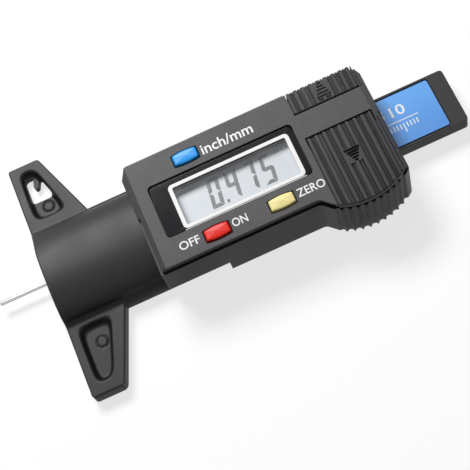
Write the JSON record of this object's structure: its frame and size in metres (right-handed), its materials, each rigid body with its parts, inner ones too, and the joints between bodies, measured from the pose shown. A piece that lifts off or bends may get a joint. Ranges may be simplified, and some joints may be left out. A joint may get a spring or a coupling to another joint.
{
  "type": "digital depth gauge",
  "caption": "Hand-held digital depth gauge: T-shaped base, display module with ribbed thumb rest, sliding beam that pushes a steel pin out of the measuring face.",
  "frame": {"origin": "under the middle of the whole gauge at the stored reading, in the plane of its flat back", "axes": "+X from the pin's tip along the beam to its free end, +Y across the gauge towards the edge with the data port, +Z out of the display face"},
  "size_m": [0.1118, 0.06, 0.0154],
  "materials": {
    "base_frame": "satin moulded, fine spark texture",
    "back_plate": "matte moulded",
    "screws": "machined",
    "rear_case": "satin moulded",
    "front_cover": "fine spark texture",
    "window_lens": "polished, with a dark printed border",
    "display_frame": "satin moulded",
    "lcd_glass": "reflective liquid crystal display",
    "zebra_strips": "silicone",
    "main_board": "solder mask",
    "chip_cap": "potting resin",
    "unit_button": "satin moulded, blue",
    "power_button": "satin moulded, red",
    "zero_button": "satin moulded, pale yellow",
    "switch_domes": "nickel plated",
    "battery_cell": "nickel plated",
    "contacts": "nickel plated",
    "battery_cover": "ribbed, satin moulded",
    "port_cover": "ribbed, satin moulded",
    "port_pads": "gold plated",
    "leaf_spring": "spring bronze",
    "beam": "satin moulded",
    "scale_strip": "circuit laminate with plated fingers",
    "beam_label": "printed film, blue",
    "measuring_pin": "ground steel"
  },
  "bodies": {
    "housing": {"base_frame": "base_frame", "back_plate": "back_plate", "case_screw_1": "screws", "case_screw_2": "screws", "case_screw_3": "screws", "case_screw_4": "screws", "plate_screw_1": "screws", "plate_screw_2": "screws", "plate_screw_3": "screws", "plate_screw_4": "screws", "rear_case": "rear_case", "front_cover": "front_cover", "window_lens": "window_lens", "display_frame": "display_frame", "lcd_glass": "lcd_glass", "zebra_strip_upper": "zebra_strips", "zebra_strip_lower": "zebra_strips", "main_board": "main_board", "chip_cap": "chip_cap", "unit_dome": "switch_domes", "power_dome": "switch_domes", "zero_dome": "switch_domes", "battery_cell": "battery_cell", "battery_contact_negative": "contacts", "battery_contact_positive": "contacts", "port_pad_1": "port_pads", "port_pad_2": "port_pads", "port_pad_3": "port_pads", "port_pad_4": "port_pads", "leaf_spring": "leaf_spring"},
    "slide": {"beam": "beam", "scale_strip": "scale_strip", "beam_label": "beam_label", "measuring_pin": "measuring_pin"},
    "unit_key": {"unit_button": "unit_button"},
    "power_key": {"power_button": "power_button"},
    "zero_key": {"zero_button": "zero_button"},
    "battery_door": {"battery_cover": "battery_cover"},
    "port_door": {"port_cover": "port_cover"}
  },
  "joints": [
    {"name": "measuring_slide", "type": "slide", "parent": "housing", "child": "slide", "axis": [1, 0, 0], "range_m": [-0.01333, 0.01206]},
    {"name": "unit_press", "type": "slide", "parent": "housing", "child": "unit_key", "axis": [0, 0, -1], "range_m": [0, 0.0005], "stiffness_N_per_m": 600},
    {"name": "power_press", "type": "slide", "parent": "housing", "child": "power_key", "axis": [0, 0, -1], "range_m": [0, 0.0005], "stiffness_N_per_m": 600},
    {"name": "zero_press", "type": "slide", "parent": "housing", "child": "zero_key", "axis": [0, 0, -1], "range_m": [0, 0.0005], "stiffness_N_per_m": 600},
    {"name": "battery_cover_slide", "type": "slide", "parent": "housing", "child": "battery_door", "axis": [0, -1, 0], "range_m": [0, 0.019]},
    {"name": "port_cover_slide", "type": "slide", "parent": "housing", "child": "port_door", "axis": [0, 1, 0], "range_m": [0, 0.0075]}
  ]
}
